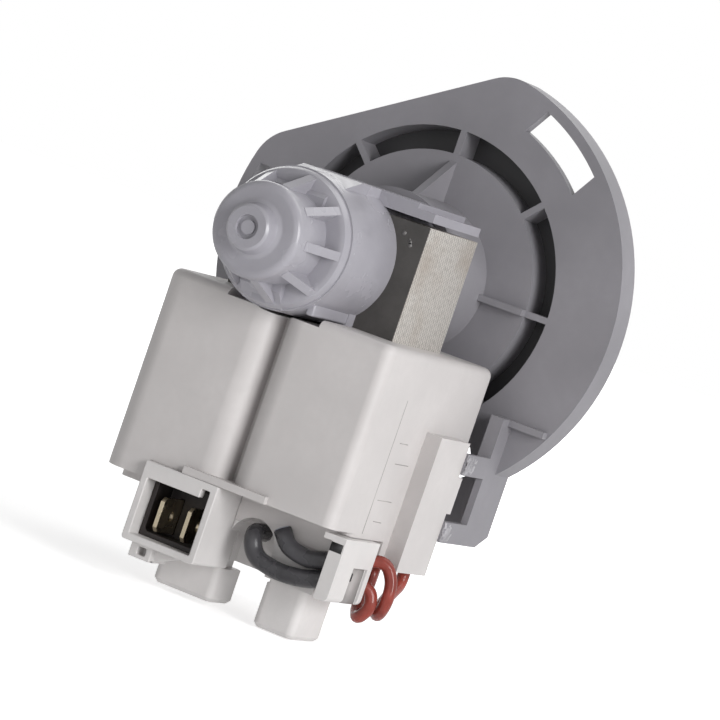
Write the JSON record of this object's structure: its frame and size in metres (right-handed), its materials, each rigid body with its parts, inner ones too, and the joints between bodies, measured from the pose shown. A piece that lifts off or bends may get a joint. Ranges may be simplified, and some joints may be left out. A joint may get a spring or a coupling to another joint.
{
  "type": "dishwasher drain pump",
  "caption": "Electric drain pump for a dishwasher: a coil-driven magnet rotor in a sealed can turns an impeller on the wet side of a round bayonet flange",
  "frame": {"origin": "on the rotor axis, in the flange's motor-side face, where the pump meets the sump's bayonet", "axes": "+Y along the rotor axis towards the impeller and the sump, +Z away from the coils, +X to the right seen from the motor's nose"},
  "size_m": [0.081, 0.0859, 0.1057],
  "materials": {
    "cover_plastic": "dark grey moulded plastic, fine grain",
    "can_plastic": "light grey moulded plastic, slight sheen",
    "core_steel": "stacked laminations, painted dark on the front",
    "bobbin_plastic": "natural white moulded plastic",
    "winding_wire": "enamelled copper wire",
    "housing_plastic": "white moulded plastic",
    "block_plastic": "black moulded insert",
    "protector_case": "black thermal cut-out case",
    "terminal_metal": "tin-plated tab",
    "sleeve_rubber": "black insulating sleeve",
    "lead_insulation": "red-brown lead insulation",
    "magnet_ferrite": "sintered ferrite",
    "hub_plastic": "moulded plastic",
    "shaft_steel": "ground stainless steel",
    "washer_plastic": "low friction plastic",
    "bearing_ceramic": "sintered ceramic bush",
    "holder_rubber": "soft bearing holder",
    "plug_plastic": "dark grey moulded plastic",
    "seal_rubber": "black seal rubber",
    "impeller_plastic": "grey moulded plastic"
  },
  "bodies": {
    "housing": {"flange_cover": "cover_plastic", "rotor_can": "can_plastic", "stator_core": "core_steel", "left_bobbin": "bobbin_plastic", "right_bobbin": "bobbin_plastic", "left_winding": "winding_wire", "right_winding": "winding_wire", "coil_housing": "housing_plastic", "thermal_protector": "protector_case", "connector_housing": "housing_plastic", "terminal_block": "block_plastic", "left_terminal": "terminal_metal", "right_terminal": "terminal_metal", "terminal_carrier": "housing_plastic", "lead_clip": "housing_plastic", "upper_sleeve": "sleeve_rubber", "lower_sleeve": "sleeve_rubber", "upper_lead": "lead_insulation", "lower_lead": "lead_insulation", "rear_bearing": "bearing_ceramic", "rear_bearing_holder": "holder_rubber", "front_bearing": "bearing_ceramic", "bearing_plug": "plug_plastic", "shaft_seal": "seal_rubber", "flange_seal": "seal_rubber"},
    "impeller_set": {"rotor_shaft": "shaft_steel", "drive_dog": "hub_plastic", "front_washer": "washer_plastic", "rear_washer": "washer_plastic", "impeller": "impeller_plastic"},
    "magnet_rotor": {"rotor_magnet": "magnet_ferrite", "magnet_hub": "hub_plastic"}
  },
  "joints": [
    {"name": "impeller_spin", "type": "hinge", "parent": "housing", "child": "impeller_set", "pos_m": [0, 0, 0], "axis": [0, 1, 0], "continuous": true},
    {"name": "magnet_lag", "type": "hinge", "parent": "impeller_set", "child": "magnet_rotor", "pos_m": [0, 0, 0], "axis": [0, 1, 0], "range_deg": [-118, 118]}
  ]
}
